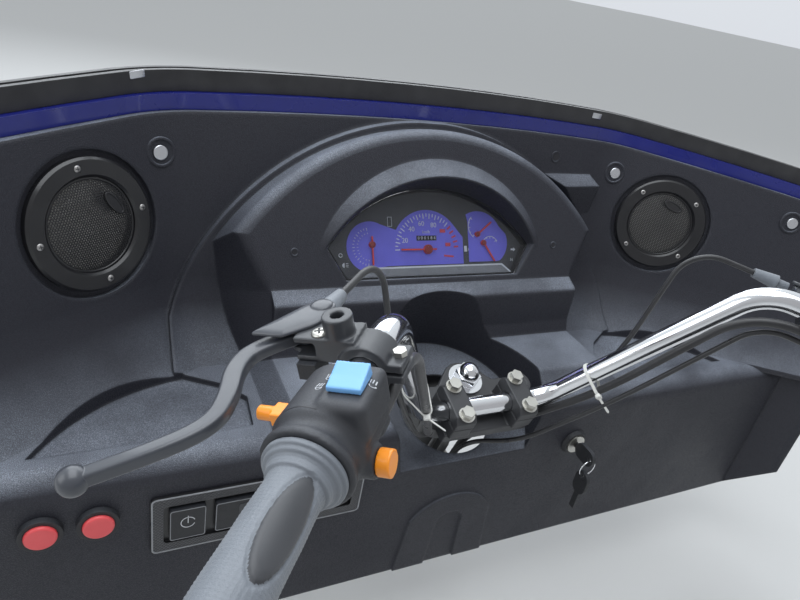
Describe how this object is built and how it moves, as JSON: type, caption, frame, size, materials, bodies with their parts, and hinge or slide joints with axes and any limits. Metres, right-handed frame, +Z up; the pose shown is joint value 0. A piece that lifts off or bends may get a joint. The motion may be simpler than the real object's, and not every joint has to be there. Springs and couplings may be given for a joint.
{
  "type": "auto rickshaw cockpit: dashboard and handlebar assembly",
  "caption": "Moulded dashboard with instrument binnacle, speakers, radio and ignition lock, on a steel steering head whose handlebar turns with its grips, levers, switches and cables.",
  "frame": {"origin": "centre of the front face of the steering arm's bulkhead plate, in the middle of its four bolt holes", "axes": "+X to the driver's right, +Y forward through the windscreen, +Z up"},
  "size_m": [1.212, 0.6124, 0.5475],
  "materials": {
    "moulding": "fine grained, satin",
    "blue_paint": "gloss",
    "seal_rubber": "satin",
    "frame_paint": "satin",
    "zinc_steel": "zinc plated",
    "clear_lens": "clear",
    "black_plastic": "fine grained",
    "dial": "printed",
    "needle_red": "gloss",
    "gloss_black": "gloss",
    "radio_grey": "satin",
    "red_plastic": "gloss",
    "chrome": "polished",
    "silver_caps": "satin",
    "bare_steel": "turned",
    "bracket_paint": "satin",
    "blue_plastic": "gloss",
    "orange_plastic": "gloss",
    "rubber": "stippled",
    "cast_aluminium": "cast aluminium, satin black",
    "lever_metal": "satin dark grey",
    "brass": "turned",
    "cable_jacket": "satin",
    "mesh_paint": "satin mesh"
  },
  "bodies": {
    "dashboard": {"button_bezels": "black_plastic", "cluster_housing": "black_plastic", "cluster_lens": "clear_lens", "cross_beam": "frame_paint", "dash_brackets": "zinc_steel", "dash_panel": "moulding", "dial_face": "dial", "gauge_needles": "needle_red", "ignition_lock": "zinc_steel", "key": "black_plastic", "key_ring": "chrome", "lock_bezel": "black_plastic", "push_caps": "silver_caps", "radio_body": "gloss_black", "radio_keys": "radio_grey", "spare_key": "black_plastic", "speaker_basket_left": "zinc_steel", "speaker_basket_right": "zinc_steel", "speaker_grille_left": "mesh_paint", "speaker_grille_right": "mesh_paint", "speaker_ring_left": "gloss_black", "speaker_ring_right": "gloss_black", "steering_head": "frame_paint", "warning_buttons": "red_plastic", "windscreen_seal": "seal_rubber", "windscreen_sill": "blue_paint"},
    "steering": {"steering_stem": "bare_steel", "stop_plate": "zinc_steel", "cord_ends": "zinc_steel", "top_bracket": "bracket_paint", "stem_nut": "chrome", "bar_clamps": "bracket_paint", "clamp_bolts": "zinc_steel", "handlebar": "chrome", "dip_switch": "blue_plastic", "indicator_switch": "orange_plastic", "horn_button": "orange_plastic", "lever_cover": "rubber", "brake_switch": "black_plastic", "throttle_adjuster": "brass", "throttle_cable": "cable_jacket", "grip_left": "rubber", "switch_housing_left": "black_plastic", "perch_left": "cast_aluminium", "perch_bolts_left": "zinc_steel", "lever_left": "lever_metal", "cable_boot_left": "rubber", "lever_cable_left": "cable_jacket", "loom_left": "cable_jacket", "grip_right": "rubber", "switch_housing_right": "black_plastic", "perch_right": "cast_aluminium", "perch_bolts_right": "zinc_steel", "lever_right": "lever_metal", "cable_boot_right": "rubber", "lever_cable_right": "cable_jacket", "loom_right": "cable_jacket"}
  },
  "joints": [
    {"name": "steering_turn", "type": "hinge", "parent": "dashboard", "child": "steering", "pos_m": [0, -0.243, 0.137], "axis": [0, -0.309, 0.9511], "range_deg": [-35, 35]}
  ]
}
